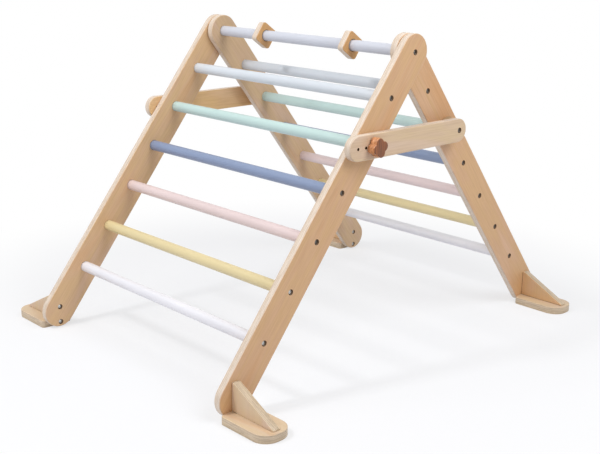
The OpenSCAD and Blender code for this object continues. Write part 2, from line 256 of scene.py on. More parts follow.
def turned(name, centre, profile, steps=48):
    """A closed shape turned round X through a centre, from (place along X, radius) pairs."""
    points = []
    for along, radius in profile:
        point = centre + radius * AXES["Z"]
        point.x = along
        points.append(point)
    pen = Pen(name, points[0])
    for point in points[1:]:
        pen.line_to(point)
    return pen.lathe(centre, steps)


def add_slots(piece):
    """Gives a piece one material slot for its own faces and one for the faces of its holes."""
    for _ in range(2):
        piece.data.materials.append(None)


def bore(piece, cutters):
    """Cuts closed shapes out of a piece, removes them and marks the faces that they leave.

    The faces of a hole come with its drill's second slot, which is how they are told apart.
    """
    add_slots(piece)
    for cutter in cutters:
        faces = len(piece.data.polygons)
        choose(piece)
        cut = piece.modifiers.new("Bore", "BOOLEAN")
        cut.operation = "DIFFERENCE"
        cut.solver = "EXACT"
        cut.object = cutter
        bpy.ops.object.modifier_apply(modifier=cut.name)
        bpy.data.objects.remove(cutter)
        if len(piece.data.polygons) <= faces:
            raise RuntimeError(f"A cutter left no hole in {piece.name}.")
    # Painted shade: this mark darkens the hole's faces in the plywood's colour
    mark = piece.data.attributes.new("bored", "FLOAT", "FACE")
    for face in piece.data.polygons:
        mark.data[face.index].value = face.material_index
        face.material_index = 0


def drill(spots, profile):
    """One cutter turned from a profile and repeated at each spot, all in its second slot."""
    cutter = turned("drill", spots[0], profile, 32)
    add_slots(cutter)
    for face in cutter.data.polygons:
        face.material_index = 1
    repeat(cutter, spots)
    return cutter


def plain_hole(spots, low, high, diameter):
    """A straight cutter between two levels."""
    r = diameter / 2
    return drill(spots, [(low, 0), (low, r), (high, r), (high, 0)])


def screw_hole(spots, face, sign, shank, sizes):
    """A countersunk cutter from a face inwards. The sign is that of the face's outward X."""
    head = sizes.head_diameter / 2 + sizes.head_clearance
    r = shank / 2 + FIT
    outside, rim = face + sign * PAST, face - sign * sizes.head_rim
    end = face - sign * (PLY + PAST)
    return drill(spots, [
        (outside, 0), (outside, head), (rim, head), (rim - sign * (head - r), r), (end, r),
        (end, 0)])


def mirrored(piece, name):
    """A copy of a right-hand piece on the left, with its own mesh and its faces outwards."""
    choose(piece)
    bpy.ops.object.duplicate()
    twin = bpy.context.object
    twin.name = twin.data.name = name
    bpy.ops.object.mode_set(mode="EDIT")
    bpy.ops.mesh.select_all(action="SELECT")
    bpy.ops.transform.resize(value=(-1, 1, 1), center_override=(0, 0, 0))
    outwards()
    close()
    return twin


def finished(piece, node, material):
    """Smooths a piece's rounded edges and puts it in its CAD node's place, with its finish."""
    choose(piece)
    bpy.ops.object.shade_smooth_by_angle(angle=SMOOTH)
    even = piece.modifiers.new("Even faces", "WEIGHTED_NORMAL")
    even.keep_sharp = True
    bpy.ops.object.modifier_apply(modifier=even.name)
    piece.data.materials.clear()
    piece.data.materials.append(material)
    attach(piece, frame["nodes"][node]["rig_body"])
    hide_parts(node)


def pair(right, node, slot, material, left_material=None):
    """Finishes a right-hand piece and its mirror image. The two nodes' names end in the side."""
    finished(right, node + RIGHT, material)
    left = mirrored(right, right.name.removesuffix(RIGHT) + LEFT)
    finished(left, node + LEFT, left_material or material)


# ---- Materials ----

def linear(hex_colour):
    """The linear colour of an sRGB hex value."""
    values = [int(hex_colour[i:i + 2], 16) / 255 for i in (1, 3, 5)]
    return tuple(v / 12.92 if v <= 0.04045 else ((v + 0.055) / 1.055) ** 2.4 for v in values)


def opaque(colour):
    """A colour with full alpha, as sockets and ramps take it."""
    return (*colour[:3], 1)


def new_material(name):
    """An empty node material and its node tree."""
    material = bpy.data.materials.new(name)
    material.use_nodes = True
    material.node_tree.nodes.clear()
    return material, material.node_tree


def add(tree, kind, settings=None, inputs=None):
    """Adds a node with its settings. An input takes a value, or a (node, output) pair to link."""
    node = tree.nodes.new("ShaderNode" + kind)
    for key, value in (settings or {}).items():
        if key == "stops":
            ramp = node.color_ramp.elements
            while len(ramp) < len(value):
                ramp.new(1)
            for element, (place, colour) in zip(ramp, value):
                element.position = place
                element.color = opaque(colour)
        else:
            setattr(node, key, value)
    for key, value in (inputs or {}).items():
        if isinstance(value, tuple) and isinstance(value[0], bpy.types.Node):
            tree.links.new(value[0].outputs[value[1]], node.inputs[key])
        else:
            node.inputs[key].default_value = value
    return node


def scale(*lengths):
    """The scale, for each axis, that gives a pattern's features these lengths in millimetres."""
    return tuple(1 / (length * MM) for length in lengths)


def seen(tree):
    """A node that gives 1 for what the camera sees, also in gloss and glass, and 0 otherwise."""
    rays = add(tree, "LightPath")
    direct = add(tree, "Math", {"operation": "MAXIMUM"}, {
        0: (rays, "Is Camera Ray"), 1: (rays, "Is Glossy Ray")})
    return add(tree, "Math", {"operation": "MAXIMUM"}, {
        0: (direct, 0), 1: (rays, "Is Transmission Ray")})


# How dark each ply is at a sanded edge, from a board's inner face out: plies with end grain are
# darker. The real board has 13 plies of 1.4 mm. They are drawn as 9 of 2 mm, so that they show.
PLY_TONES = (0.75, 1.0, 0.55, 0.8, 0.25, 0.6, 0.1, 0.7, 0.3)
# How deep a face's tone reaches into a rounded edge, fading from the first depth to the second
SKIN = (0.5 * MM, 1.7 * MM)
# Half the width of a glue line, as a part of the board's thickness
HALF_LINE = 0.011


def ply_stops(pale, dark, glue):
    """Colour stops across a board's edge: each ply's tone, with glue lines between if given."""
    count = len(PLY_TONES)
    stops = []
    for k, share in enumerate(PLY_TONES):
        tone = [p + (d - p) * share for p, d in zip(pale, dark)]
        stops += [(k / count + 2 * HALF_LINE, tone), ((k + 1) / count - 2 * HALF_LINE, tone)]
        if glue and k + 1 < count:
            stops.append(((k + 1) / count, glue))
    return stops


def birch_plywood(name, colours, turn, inner, thickness):
    """Birch plywood, sanded and sealed with clear satin lacquer.

    Its rotary-cut face veneers give broad soft clouds of tan and pink with faint fine fibres. Its
    sanded edges show pale and darker plies in turn, and thin glue lines that come and go. The turn
    lays the pattern's X through the board and its Z along the grain.
    """
    material, tree = new_material(name)
    place = add(tree, "TexCoord")
    board = add(tree, "Mapping", {"vector_type": "POINT"}, {
        "Vector": (place, "Object"), "Rotation": turn})
    parts = add(tree, "SeparateXYZ", None, {"Vector": (board, "Vector")})
    level = add(tree, "Math", {"operation": "ABSOLUTE"}, {0: (parts, "X")})
    depth = add(tree, "Math", {"operation": "SUBTRACT"}, {0: (level, 0), 1: inner})
    # Clouds of the veneer, 45 mm wide and 260 mm long
    cloud_place = add(tree, "Mapping", None, {
        "Vector": (board, "Vector"), "Scale": scale(20, 45, 260)})
    clouds = add(tree, "TexNoise", None, {
        "Vector": (cloud_place, "Vector"), "Scale": 1.0, "Detail": 2.0, "Roughness": 0.5,
        "Distortion": 0.4})
    face = add(tree, "ValToRGB", {"stops": [
        (0.28, colours.face_warm), (0.41, colours.face), (0.50, colours.face_gold),
        (0.59, colours.face), (0.72, colours.face_pale)]}, {"Fac": (clouds, "Fac")})
    # Wood fibres are 0.3 mm wide. They are drawn 1.8 mm wide and 70 mm long, so that they show.
    fibre_place = add(tree, "Mapping", None, {
        "Vector": (board, "Vector"), "Scale": scale(1.8, 1.8, 70)})
    fibres = add(tree, "TexNoise", None, {
        "Vector": (fibre_place, "Vector"), "Scale": 1.0, "Detail": 2.0, "Roughness": 0.6})
    fibre_tone = add(tree, "ValToRGB", {"stops": [
        (0.32, linear("#E4DCD2")), (0.62, linear("#FFFFFF"))]}, {"Fac": (fibres, "Fac")})
    veneer = add(tree, "Mix", {"data_type": "RGBA", "blend_type": "MULTIPLY"}, {
        0: colours.grain, 6: (face, "Color"), 7: (fibre_tone, "Color")})
    # The plies across the edge, with and without glue lines. A line breaks off after about 30 mm.
    through = add(tree, "Math", {"operation": "DIVIDE"}, {0: (depth, 0), 1: thickness})
    plain_plies = add(tree, "ValToRGB", {
        "stops": ply_stops(colours.ply_pale, colours.ply_dark, None)}, {"Fac": (through, 0)})
    lined_plies = add(tree, "ValToRGB", {
        "stops": ply_stops(colours.ply_pale, colours.ply_dark, colours.glue)}, {
        "Fac": (through, 0)})
    break_place = add(tree, "Mapping", None, {
        "Vector": (board, "Vector"), "Scale": scale(2.2, 30, 30)})
    breaks = add(tree, "TexNoise", None, {
        "Vector": (break_place, "Vector"), "Scale": 1.0, "Detail": 1.0})
    lines_show = add(tree, "MapRange", None, {
        "Value": (breaks, "Fac"), "From Min": 0.44, "From Max": 0.56})
    plies = add(tree, "Mix", {"data_type": "RGBA"}, {
        0: (lines_show, "Result"), 6: (plain_plies, "Color"), 7: (lined_plies, "Color")})
    edge = add(tree, "Mix", {"data_type": "RGBA", "blend_type": "MULTIPLY"}, {
        0: 0.35, 6: (plies, 2), 7: (fibre_tone, "Color")})
    from_middle = add(tree, "Math", {"operation": "SUBTRACT"}, {0: (depth, 0), 1: thickness / 2})
    off_middle = add(tree, "Math", {"operation": "ABSOLUTE"}, {0: (from_middle, 0)})
    on_skin = add(tree, "MapRange", None, {
        "Value": (off_middle, 0), "From Min": thickness / 2 - SKIN[1],
        "From Max": thickness / 2 - SKIN[0]})
    solid = add(tree, "Mix", {"data_type": "RGBA"}, {
        0: (on_skin, "Result"), 6: (edge, 2), 7: (veneer, 2)})
    # Painted shade: the walls of drilled and countersunk holes, and the gussets' joint grooves,
    # are darkened towards the drilled colour
    bored = add(tree, "Attribute", {"attribute_name": "bored"})
    wood = add(tree, "Mix", {"data_type": "RGBA"}, {
        0: (bored, "Fac"), 6: (solid, 2), 7: opaque(colours.drilled)})
    bump = add(tree, "Bump", None, {
        "Strength": 0.2, "Distance": 0.1 * MM, "Height": (fibres, "Fac")})
    surface = add(tree, "BsdfPrincipled", None, {
        "Base Color": (wood, 2), "Normal": (bump, "Normal"), "Roughness": 0.5,
        "Coat Weight": 0.1, "Coat Roughness": 0.3})
    add(tree, "OutputMaterial", None, {"Surface": (surface, "BSDF")})
    return material


def rung_lacquer(name, colour):
    """Beech dowel under satin lacquer in a pastel colour.

    Sprayed lacquer gives an even colour with a soft sheen, and the fibres under it show as faint
    lines along the rung.
    """
    material, tree = new_material(name)
    place = add(tree, "TexCoord")
    # Fibres drawn 1.2 mm wide and 60 mm long, coarser than real, so that they show
    along = add(tree, "Mapping", None, {
        "Vector": (place, "Object"), "Scale": scale(60, 1.2, 1.2)})
    fibres = add(tree, "TexNoise", None, {
        "Vector": (along, "Vector"), "Scale": 1.0, "Detail": 2.0, "Roughness": 0.6})
    # The film is a little thicker here and thinner there, over about 150 mm
    film = add(tree, "TexNoise", None, {
        "Vector": (place, "Object"), "Scale": scale(150)[0], "Detail": 1.0})
    tone = add(tree, "ValToRGB", {"stops": [
        (0.3, [c * 0.95 for c in colour]), (0.7, colour)]}, {"Fac": (film, "Fac")})
    bump = add(tree, "Bump", None, {
        "Strength": 0.2, "Distance": 0.08 * MM, "Height": (fibres, "Fac")})
    surface = add(tree, "BsdfPrincipled", None, {
        "Base Color": (tone, "Color"), "Normal": (bump, "Normal"), "Roughness": 0.42,
        "Coat Weight": 0.25, "Coat Roughness": 0.25})
    add(tree, "OutputMaterial", None, {"Surface": (surface, "BSDF")})
    return material


def oiled_walnut(name, colours, front):
    """Walnut, milled and oiled, with a low sheen: brown with darker growth lines.

    The sides are painted paler than the end face, as painted light on the lobes. The front is its
    level.
    """
    material, tree = new_material(name)
    place = add(tree, "TexCoord")
    # Growth lines about 2 mm apart that run up the knob
    along = add(tree, "Mapping", None, {
        "Vector": (place, "Object"), "Scale": scale(3, 2.5, 50)})
    growth = add(tree, "TexNoise", None, {
        "Vector": (along, "Vector"), "Scale": 1.0, "Detail": 3.0, "Roughness": 0.6})
    end_tone = add(tree, "ValToRGB", {"stops": [
        (0.35, colours.knob_dark), (0.65, colours.knob)]}, {"Fac": (growth, "Fac")})
    # Painted light on the lobes' sides, paler than the end face
    lit_side_tone = add(tree, "ValToRGB", {"stops": [
        (0.35, colours.knob), (0.65, colours.knob_lit_side)]}, {"Fac": (growth, "Fac")})
    parts = add(tree, "SeparateXYZ", None, {"Vector": (place, "Object")})
    level = add(tree, "Math", {"operation": "ABSOLUTE"}, {0: (parts, "X")})
    # The end's tone fades out over the rounded rim
    at_end = add(tree, "MapRange", None, {
        "Value": (level, 0), "From Min": front - 2.2 * MM, "From Max": front - 0.8 * MM})
    tone = add(tree, "Mix", {"data_type": "RGBA"}, {
        0: (at_end, "Result"), 6: (lit_side_tone, "Color"), 7: (end_tone, "Color")})
    bump = add(tree, "Bump", None, {
        "Strength": 0.3, "Distance": 0.1 * MM, "Height": (growth, "Fac")})
    surface = add(tree, "BsdfPrincipled", None, {
        "Base Color": (tone, 2), "Normal": (bump, "Normal"), "Roughness": 0.4, "IOR": 1.47,
        "Coat Weight": 0.25, "Coat Roughness": 0.3})
    add(tree, "OutputMaterial", None, {"Surface": (surface, "BSDF")})
    return material


def zinc_plated_steel(name, colour, bright, bright_below):
    """Zinc-plated steel, barrel-plated: grey with a slightly cloudy polish.

    Painted reflection: the screws below a height are painted bright and those above it dark, for
    what their heads reflect.
    """
    material, tree = new_material(name)
    place = add(tree, "TexCoord")
    # Cloudy plating, over about 3 mm
    cloud = add(tree, "TexNoise", None, {
        "Vector": (place, "Object"), "Scale": scale(3)[0], "Detail": 3.0})
    tones = [add(tree, "ValToRGB", {"stops": [
        (0.3, [c * 0.75 for c in reflection_tone]), (0.7, reflection_tone)]}, {"Fac": (cloud, "Fac")})
        for reflection_tone in (colour, bright)]
    parts = add(tree, "SeparateXYZ", None, {"Vector": (place, "Object")})
    is_low = add(tree, "Math", {"operation": "LESS_THAN"}, {0: (parts, "Z"), 1: bright_below})
    tone = add(tree, "Mix", {"data_type": "RGBA"}, {
        0: (is_low, 0), 6: (tones[0], "Color"), 7: (tones[1], "Color")})
    bump = add(tree, "Bump", None, {
        "Strength": 0.1, "Distance": 0.05 * MM, "Height": (cloud, "Fac")})
    surface = add(tree, "BsdfPrincipled", None, {
        "Base Color": (tone, 2), "Normal": (bump, "Normal"), "Metallic": 1.0, "Roughness": 0.32})
    add(tree, "OutputMaterial", None, {"Surface": (surface, "BSDF")})
    return material


def machined_brass(name, colour):
    """Machined brass: yellow metal with fine turning marks round its axis."""
    material, tree = new_material(name)
    place = add(tree, "TexCoord")
    # Turning marks 0.8 mm apart along the insert, at 20 * scale radians of the wave a metre
    marks = add(tree, "TexWave", {"bands_direction": "X"}, {
        "Vector": (place, "Object"), "Scale": math.tau / (20 * 0.8 * MM), "Distortion": 0.2})
    tone = add(tree, "ValToRGB", {"stops": [
        (0.2, [c * 0.8 for c in colour]), (0.8, colour)]}, {"Fac": (marks, "Fac")})
    bump = add(tree, "Bump", None, {
        "Strength": 0.15, "Distance": 0.03 * MM, "Height": (marks, "Fac")})
    surface = add(tree, "BsdfPrincipled", None, {
        "Base Color": (tone, "Color"), "Normal": (bump, "Normal"), "Metallic": 1.0,
        "Roughness": 0.3})
    add(tree, "OutputMaterial", None, {"Surface": (surface, "BSDF")})
    return material


def moulded_nylon(name, colour):
    """Moulded nylon, unfilled: milky white with a faintly uneven skin."""
    material, tree = new_material(name)
    place = add(tree, "TexCoord")
    # Uneven skin, over about 2 mm
    skin = add(tree, "TexNoise", None, {
        "Vector": (place, "Object"), "Scale": scale(2)[0], "Detail": 2.0})
    tone = add(tree, "ValToRGB", {"stops": [
        (0.3, [c * 0.93 for c in colour]), (0.7, colour)]}, {"Fac": (skin, "Fac")})
    bump = add(tree, "Bump", None, {
        "Strength": 0.1, "Distance": 0.03 * MM, "Height": (skin, "Fac")})
    surface = add(tree, "BsdfPrincipled", None, {
        "Base Color": (tone, "Color"), "Normal": (bump, "Normal"), "Roughness": 0.4, "IOR": 1.53})
    add(tree, "OutputMaterial", None, {"Surface": (surface, "BSDF")})
    return material


def studio_floor(name, colour):
    """Matt white studio floor, shown white round the soft shadows of the object.

    The light that it throws back up is a little less than what it shows.
    """
    material, tree = new_material(name)
    place = add(tree, "TexCoord")
    away = add(tree, "VectorMath", {"operation": "LENGTH"}, {0: (place, "Object")})
    # How much plain white is mixed in: most of it near the object, and all of it from 1.2 m out
    whiteness = add(tree, "MapRange", {"interpolation_type": "SMOOTHSTEP"}, {
        "Value": (away, "Value"), "From Min": 0.6, "From Max": 1.2, "To Min": 0.62, "To Max": 1.0})
    thrown, shown = (
        add(tree, "BsdfDiffuse", None, {"Color": opaque([c * share for c in colour])})
        for share in (0.88, 0.92))
    white = add(tree, "Emission", None, {"Color": opaque(linear("#FFFFFF")), "Strength": 1.0})
    lifted = add(tree, "MixShader", None, {
        0: (whiteness, "Result"), 1: (shown, "BSDF"), 2: (white, "Emission")})
    both = add(tree, "MixShader", None, {
        0: (seen(tree), 0), 1: (thrown, "BSDF"), 2: (lifted, "Shader")})
    add(tree, "OutputMaterial", None, {"Surface": (both, "Shader")})
    return material


# ---- Sizes and colours that a user would change ----

def length(name, description, default):
    """A length property in metres."""
    return bpy.props.FloatProperty(
        name=name, description=description, default=default, min=0.0, unit="LENGTH", precision=4)


def tint(name, description, hex_colour):
    """A colour property, written as sRGB hex."""
    return bpy.props.FloatVectorProperty(
        name=name, description=description, default=linear(hex_colour), min=0.0, max=1.0, size=3,
        subtype="COLOR")


class TriangleSizes(bpy.types.PropertyGroup):
    """Sizes of the modelled pieces."""

    board_round: length("Board rounding", "Rounding of the edges of rails and braces", 2.5 * MM)
    small_round: length("Small rounding", "Rounding of the stops, feet and spacers", 1.5 * MM)
    socket_depth: length("Socket depth", "Depth of the sockets for the rung ends", 10 * MM)
    socket_clearance: length("Socket clearance", "How much wider a socket is than its rung",
                             0.8 * MM)
    rung_chamfer: length("Rung chamfer", "Chamfer round the end of a rung", 1 * MM)
    head_diameter: length("Screw head", "Diameter of a countersunk screw head", 11.7 * MM)
    head_clearance: length("Screw head clearance", "Gap round a screw head in its hole", 0.5 * MM)
    head_round: length("Screw head rounding", "Rounding of a screw head's rim", 1.2 * MM)
    head_sink: length("Screw head sink", "How far a screw head lies below the wood", 0.15 * MM)
    head_rim: length("Countersink rim", "Straight rim above a countersink's cone", 1.05 * MM)
    key_socket: length("Screw socket", "Across the corners of a screw's hexagon socket", 5.8 * MM)
    key_depth: length("Screw socket depth", "Depth of a hexagon socket's walls", 2.4 * MM)
    key_pit: length("Screw socket pit", "Depth of the cone at a socket's bottom", 0.6 * MM)
    screw_diameter: length("Screw shank", "Diameter of a screw's shank", 5 * MM)
    screw_point: length("Screw point", "Length of a screw's point", 4 * MM)
    screw_grip: length("Screw grip", "How far the apex screws reach into the top rung", 30 * MM)
    pivot_diameter: length("Pivot shank", "Diameter of a brace's pivot screw", 6 * MM)
    insert_diameter: length("Insert", "Diameter of the threaded inserts for the knobs", 9 * MM)
    stud_diameter: length("Stud", "Diameter of a knob's stud", 6 * MM)
    stud_depth: length("Stud depth", "How deep a stud's bore goes into its knob", 15 * MM)
    bore_depth: length("Rung bore", "Depth of the bores in a rung's ends", 42 * MM)
    hole_diameter: length("Brace hole", "Diameter of the holes at a brace's front end", 6.6 * MM)
    hole_pitch: length("Brace hole pitch", "Distance between those holes", 23 * MM)
    stop_corner: length("Stop corner", "Radius of a ramp stop's corners", 8 * MM)
    stop_chamfer: length("Stop chamfer", "Chamfer round a ramp stop's hole", 1.5 * MM)
    stop_turn: bpy.props.FloatProperty(
        name="Stop turn", description="Angle of a ramp stop's corner above the level",
        default=math.radians(10), subtype="ANGLE")
    stop_grain: bpy.props.FloatProperty(
        name="Stop grain", description="Angle of the grain on a ramp stop",
        default=math.radians(35), subtype="ANGLE")
    plate_corner: length("Plate corner", "Radius of a foot plate's outer corners", 34 * MM)
    heel_corner: length("Heel corner", "Radius of a foot plate's corners beside the rail", 8 * MM)
    gusset_flat: length("Gusset flat", "Flat at the top of a gusset", 6 * MM)
    gusset_round: length("Gusset rounding", "Rounding of a gusset's edges", 1.1 * MM)
    gusset_toe: length("Gusset toe", "Height of the blunt toe of a gusset", 2.5 * MM)
    screw_low: length("Lower foot screw", "Height of the lower foot screw", 13 * MM)
    screw_high: length("Upper foot screw", "Height of the upper foot screw", 51 * MM)
    knob_radius: length("Knob radius", "From a knob's middle to the tip of a lobe", 21 * MM)
    knob_lobe: length("Knob lobe", "Radius of one lobe of a knob", 10.5 * MM)
    knob_hollow: length("Knob hollow", "Radius of the hollow between two lobes", 3 * MM)
    knob_round: length("Knob rounding", "Rounding of a knob's rims", 1.8 * MM)
    knob_turn: bpy.props.FloatProperty(
        name="Knob turn", description="Angle that a knob's first lobe stands at",
        default=math.radians(13), subtype="ANGLE")


class TriangleColours(bpy.types.PropertyGroup):
    """Colours of the finishes."""

    face: tint("Veneer", "Middle tone of the right-hand rails' faces", "#DAB087")
    left_face: tint("Left veneer", "Middle tone of the left-hand rails' faces", "#DDB78F")
    rear_left_face: tint("Rear left veneer", "Middle tone of the rear left rail's faces",
                         "#D3B392")
    face_pale: tint("Pale veneer", "Pink clouds of the veneer, beside the middle tone", "#DFB795")
    face_gold: tint("Gold veneer", "Gold clouds of the veneer, beside the middle tone", "#DBB283")
    face_warm: tint("Warm veneer", "Warm clouds of the veneer, beside the middle tone", "#D9A878")
    brace_face: tint("Brace veneer", "Middle tone of the braces' faces", "#DDC1A3")
    left_brace_face: tint("Left brace veneer", "Middle tone of the left brace's faces", "#E5BE8C")
    stop_face: tint("Stop veneer", "Middle tone of the ramp stops' faces", "#D3A36C")
    foot_face: tint("Foot veneer", "Middle tone of the feet's faces", "#D8BFA4")
    # Painted light: warmer than the front feet, for the warm bounced light in the rail's shadow
    gusset_face: tint("Rear gusset veneer", "Middle tone of the rear gussets' faces", "#E0B88E")
    # Partly painted light: the plies' pale and dark tones are real, but both are made paler than
    # real end grain so that the lit edges show near white
    ply_pale: tint("Pale ply", "Long-grain plies at the edges", "#E9DBCD")
    ply_dark: tint("Dark ply", "End-grain plies at the edges", "#DAC7B2")
    foot_ply_pale: tint("Foot's pale ply", "Long-grain plies at the feet's edges", "#DDCAB2")
    foot_ply_dark: tint("Foot's dark ply", "End-grain plies at the feet's edges", "#CCB798")
    # Painted shade: the spacers' edges are darkened for the shade of the rail and brace
    spacer_shaded_edge: tint("Spacer's edge", "Plies at the edge of the brace spacers", "#B59B79")
    glue: tint("Glue line", "Lines between the plies", "#A88761")
    foot_glue: tint("Foot's glue line", "Lines between the feet's plies", "#745A3C")
    # Painted shade: the dark colour of hole walls and of the gussets' joint grooves
    drilled: tint("Drilled wall", "Walls of drilled and countersunk holes", "#5E4428")
    top_rung: tint("Top rung", "Lacquer of the top rung", "#CCCFD9")
    ice_blue: tint("Ice blue", "Lacquer of the first rungs", "#D5DBE2")
    mint: tint("Mint", "Lacquer of the second rungs", "#C1DAD6")
    periwinkle: tint("Periwinkle", "Lacquer of the third rungs", "#8494B4")
    pink: tint("Pink", "Lacquer of the fourth rungs", "#E4D0CE")
    yellow: tint("Yellow", "Lacquer of the fifth rungs", "#E1D09F")
    white: tint("White", "Lacquer of the sixth rungs", "#ECEBF0")
    knob: tint("Knob", "Paler wood of the knobs", "#9C5827")
    # Painted light: the paler tone of the knobs' lobe sides
    knob_lit_side: tint("Knob side", "Palest wood round a knob's lobes", "#EBAA78")
    knob_dark: tint("Dark knob", "Darker growth lines of the knobs", "#6C3D1E")
    # Painted reflection: the higher screws' zinc is painted dark and the low screws' bright
    steel: tint("Steel", "Zinc plating of the screws", "#7C7771")
    bright_steel: tint("Bright steel", "Zinc plating of the low screws", "#C6C5C2")
    brass: tint("Brass", "Threaded inserts", "#C9A659")
    nylon: tint("Nylon", "Washers of the fold hinge", "#E4E2DB")
    floor: tint("Floor", "Matt floor under the object", "#F7F8FD")


class Palette:
    """The plywood's colours as one board takes them, with clouds round its own face colour."""

    def __init__(self, colours, face, foot=False):
        self.face = face
        self.face_pale, self.face_gold, self.face_warm = (
            [c * cloud / m for c, cloud, m in zip(face, other, colours.face)]
            for other in (colours.face_pale, colours.face_gold, colours.face_warm))
        self.ply_pale = colours.foot_ply_pale if foot else colours.ply_pale
        self.ply_dark = colours.foot_ply_dark if foot else colours.ply_dark
        self.glue = colours.foot_glue if foot else colours.glue
        self.drilled = colours.drilled
        # How strongly the fibres show: the feet's veneer is plainer
        self.grain = 0.2 if foot else 0.45


# ---- Operators ----

# Name, place, size and watts of each lamp. The two key lamps stand just low enough that the shadow
# of each rear rung covers the upper part of the next one and no more.
LAMPS = (
    ("key_lamp", (-0.6, -2.13, 2.77), 0.45, 35),
    ("soft_key_lamp", (-0.6, -2.13, 2.77), 2.4, 27),
    ("fill_lamp", (1.6, 0.25, 2.1), 1.3, 25),
)
SKY_STRENGTH = 0.41
FLOOR_SIZE = 40
# The camera's place, its turn, tilt and roll in degrees, and its lens
CAMERA_PLACE = (1.7398, -1.6636, 0.9115)
CAMERA_ANGLES = (46.46, 15.92, 0.64)
CAMERA_LENS = 60.91


class TRIANGLE_OT_stage(bpy.types.Operator):
    """Sets up the floor, the soft lamps, the white surroundings and the camera"""

    bl_idname = "triangle.stage"
    bl_label = "Stage"

    def execute(self, context):
        scene = context.scene
        scene.view_settings.view_transform = "Standard"
        bpy.ops.object.select_all(action="DESELECT")
        bpy.ops.mesh.primitive_plane_add(size=FLOOR_SIZE, location=(0, 0, 0))
        floor = context.object
        floor.name = "floor"
        floor.data.materials.append(studio_floor("matt_white_floor", scene.triangle_colours.floor))
        self.surround(scene)
        for lamp in LAMPS:
            self.lamp(*lamp)
        self.camera(scene)
        return {"FINISHED"}

    def surround(self, scene):
        """Even light from all round, seen as white."""
        world = bpy.data.worlds.new("white_surroundings")
        scene.world = world
        world.use_nodes = True
        tree = world.node_tree
        tree.nodes.clear()
        light = add(tree, "Background", None, {
            "Color": opaque(linear("#FBFCFF")), "Strength": SKY_STRENGTH})
        white = add(tree, "Background", None, {
            "Color": opaque(linear("#FFFFFF")), "Strength": 1.0})
        both = add(tree, "MixShader", None, {
            0: (seen(tree), 0), 1: (light, "Background"), 2: (white, "Background")})
        add(tree, "OutputWorld", None, {"Surface": (both, "Shader")})

    def lamp(self, name, place, size, power):
        """A square softbox that faces the object's middle."""
        bpy.ops.object.light_add(type="AREA", location=place)
        lamp = bpy.context.object
        lamp.name = name
        faced = Vector((0, 0, APEX.z / 2))
        lamp.rotation_euler = (Vector(place) - faced).to_track_quat("Z", "Y").to_euler()
        lamp.data.size = size
        lamp.data.energy = power

    def camera(self, scene):
        """The camera at the photograph's viewing angle."""
        turn, tilt, roll = (math.radians(angle) for angle in CAMERA_ANGLES)
        bpy.ops.object.camera_add(location=CAMERA_PLACE)
        camera = bpy.context.object
        camera.name = "photograph_view"
        view = -Vector((math.sin(turn) * math.cos(tilt), -math.cos(turn) * math.cos(tilt),
                        math.sin(tilt)))
        level = view.cross(AXES["Z"]).normalized()
        upright = level.cross(view)
        side = math.cos(roll) * level + math.sin(roll) * upright
        top = -math.sin(roll) * level + math.cos(roll) * upright
        camera.rotation_euler = Matrix((side, top, -view)).transposed().to_euler()
        camera.data.sensor_width = 36
        camera.data.lens = CAMERA_LENS
        camera.data.clip_start = 0.05
        scene.camera = camera


class TRIANGLE_OT_rails(bpy.types.Operator):
    """Models the four plywood rails with rounded edges, rung sockets and countersunk holes"""

    bl_idname = "triangle.rails"
    bl_label = "Rails"

    def execute(self, context):
        sizes, colours = context.scene.triangle_sizes, context.scene.triangle_colours
        left_faces = {"front": colours.left_face, "rear": colours.rear_left_face}
        for ladder in LADDERS:
            inner, outer = (corner.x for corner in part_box(ladder + "_rail_right"))
            woods = [
                birch_plywood(f"{ladder}_{side}_rail_birch_plywood", Palette(colours, face),
                              (-way(ladder) * HALF_ANGLE, 0, 0), inner, outer - inner)
                for side, face in ((RIGHT, colours.face), (LEFT, left_faces[ladder]))]
            rail = self.board(ladder, inner, outer, sizes)
            pair(rail, ladder + "_rail_", "rail_plywood", *woods)
        return {"FINISHED"}

    def board(self, ladder, inner, outer, sizes):
        """The right-hand rail of a ladder."""
        low, high = down(ladder, RAIL_REACH), APEX.copy()
        rim = across(ladder, RAIL_HALF)
        shift = Vector((inner, 0, 0))
        half_turn = way(ladder) * 180
        pen = Pen(f"rail_{ladder}_right", high + rim + shift)
        pen.arc(high + shift, half_turn)
        pen.line_to(low - rim + shift)
        pen.arc(low + shift, half_turn)
        rail = pen.board((outer - inner, 0, 0))
        round_edges(on_face("X", inner, outer), sizes.board_round)
        close()
        # The brace's knob or pivot screw takes the second rung's place
        first, second, *others = rung_spots(ladder)
        screwed = [first, *others]
        socket, socket_end = RUNG_D + sizes.socket_clearance, inner + sizes.socket_depth
        if ladder == "front":
            screwed.append(APEX)
            apex_end, brace_hole = socket_end, sizes.hole_diameter
        else:
            apex_end, brace_hole = outer + PAST, sizes.pivot_diameter + 2 * FIT
        bore(rail, [
            plain_hole(rung_spots(ladder), inner - PAST, socket_end, socket),
            plain_hole([APEX], inner - PAST, apex_end, socket),
            plain_hole([second], inner, outer + PAST, brace_hole),
            screw_hole(screwed, outer, 1, sizes.screw_diameter, sizes),
            screw_hole(foot_screw_spots(ladder, sizes), inner, -1, sizes.screw_diameter, sizes)])
        return rail


